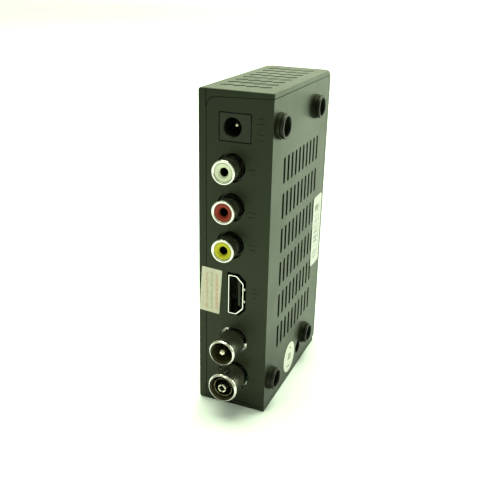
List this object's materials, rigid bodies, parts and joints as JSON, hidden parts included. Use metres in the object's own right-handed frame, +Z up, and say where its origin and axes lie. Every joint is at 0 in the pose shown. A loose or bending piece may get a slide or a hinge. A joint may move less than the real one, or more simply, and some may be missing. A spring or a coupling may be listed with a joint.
{
  "type": "set-top recorder",
  "caption": "Slim plastic set-top recorder on its end wall: power, phono, HDMI and aerial sockets at the rear, vented underside with hollow feet, display, buttons and USB port in front.",
  "frame": {"origin": "middle of the flat end wall that the case stands on", "axes": "+Z up along the long side of the case; +X from the roof towards the underside and its feet; -Y the way the rear sockets face; +Y the front"},
  "size_m": [0.0293, 0.0737, 0.118],
  "materials": {
    "case_plastic": "fine textured moulding",
    "button_plastic": "satin",
    "socket_plastic": "smooth moulding",
    "foot_rubber": "matt",
    "smoked_window": "polished",
    "nickel_plate": "bright plated",
    "contact_metal": "plated",
    "tinned_sheet": "rolled",
    "screw_steel": "dark plated",
    "aerial_insulator": "smooth moulding",
    "insert_white": "satin",
    "insert_red": "satin",
    "insert_yellow": "satin",
    "board_laminate": "solder resist",
    "chip_epoxy": "moulded",
    "heatsink_aluminium": "extruded",
    "capacitor_sleeve": "shrink sleeve",
    "seal_paper": "brittle seal paper",
    "label_paper": "coated paper"
  },
  "bodies": {
    "case": {"top_cover": "case_plastic", "bottom_shell": "case_plastic", "front_panel": "case_plastic", "display_window": "smoked_window", "foot_ring_rear_high": "foot_rubber", "foot_ring_front_high": "foot_rubber", "foot_ring_rear_low": "foot_rubber", "foot_ring_front_low": "foot_rubber", "case_screw": "screw_steel", "seal_sticker": "seal_paper", "barcode_label": "label_paper", "inspection_sticker": "label_paper", "dc_jack_body": "socket_plastic", "dc_jack_pin": "contact_metal", "rca_housing": "socket_plastic", "rca_white_shell": "nickel_plate", "rca_white_insert": "insert_white", "rca_white_contact": "contact_metal", "rca_red_shell": "nickel_plate", "rca_red_insert": "insert_red", "rca_red_contact": "contact_metal", "rca_yellow_shell": "nickel_plate", "rca_yellow_insert": "insert_yellow", "rca_yellow_contact": "contact_metal", "hdmi_shell": "nickel_plate", "hdmi_tongue": "socket_plastic", "rf_out_shell": "nickel_plate", "rf_out_insert": "aerial_insulator", "rf_out_pin": "contact_metal", "rf_in_shell": "nickel_plate", "rf_in_insert": "aerial_insulator", "rf_in_socket": "contact_metal", "tuner_can": "tinned_sheet", "main_board": "board_laminate", "board_screw_low": "screw_steel", "board_screw_high": "screw_steel", "processor": "chip_epoxy", "heatsink": "heatsink_aluminium", "memory_chip": "chip_epoxy", "flash_chip": "chip_epoxy", "crystal": "tinned_sheet", "power_coil": "chip_epoxy", "capacitor_rear": "capacitor_sleeve", "capacitor_middle": "capacitor_sleeve", "capacitor_front": "capacitor_sleeve", "display_module": "socket_plastic", "infrared_receiver": "chip_epoxy", "usb_shell": "tinned_sheet", "usb_tongue": "socket_plastic", "power_switch": "socket_plastic", "channel_up_switch": "socket_plastic", "channel_down_switch": "socket_plastic"},
    "power_key": {"power_button": "button_plastic", "power_switch_plunger": "button_plastic"},
    "channel_down_key": {"channel_down_button": "button_plastic", "channel_down_switch_plunger": "button_plastic"},
    "channel_up_key": {"channel_up_button": "button_plastic", "channel_up_switch_plunger": "button_plastic"},
    "dc_contact": {"dc_jack_leaf": "contact_metal"}
  },
  "joints": [
    {"name": "power_press", "type": "slide", "parent": "case", "child": "power_key", "axis": [0, -1, 0], "range_m": [0, 0.0003], "stiffness_N_per_m": 3000},
    {"name": "channel_down_press", "type": "slide", "parent": "case", "child": "channel_down_key", "axis": [0, -1, 0], "range_m": [0, 0.0003], "stiffness_N_per_m": 3000},
    {"name": "channel_up_press", "type": "slide", "parent": "case", "child": "channel_up_key", "axis": [0, -1, 0], "range_m": [0, 0.0003], "stiffness_N_per_m": 3000},
    {"name": "dc_contact_flex", "type": "hinge", "parent": "case", "child": "dc_contact", "pos_m": [0.002, -0.02025, 0.10605], "axis": [0, 0, 1], "range_deg": [0, 5], "stiffness_Nm_per_rad": 0.08}
  ]
}
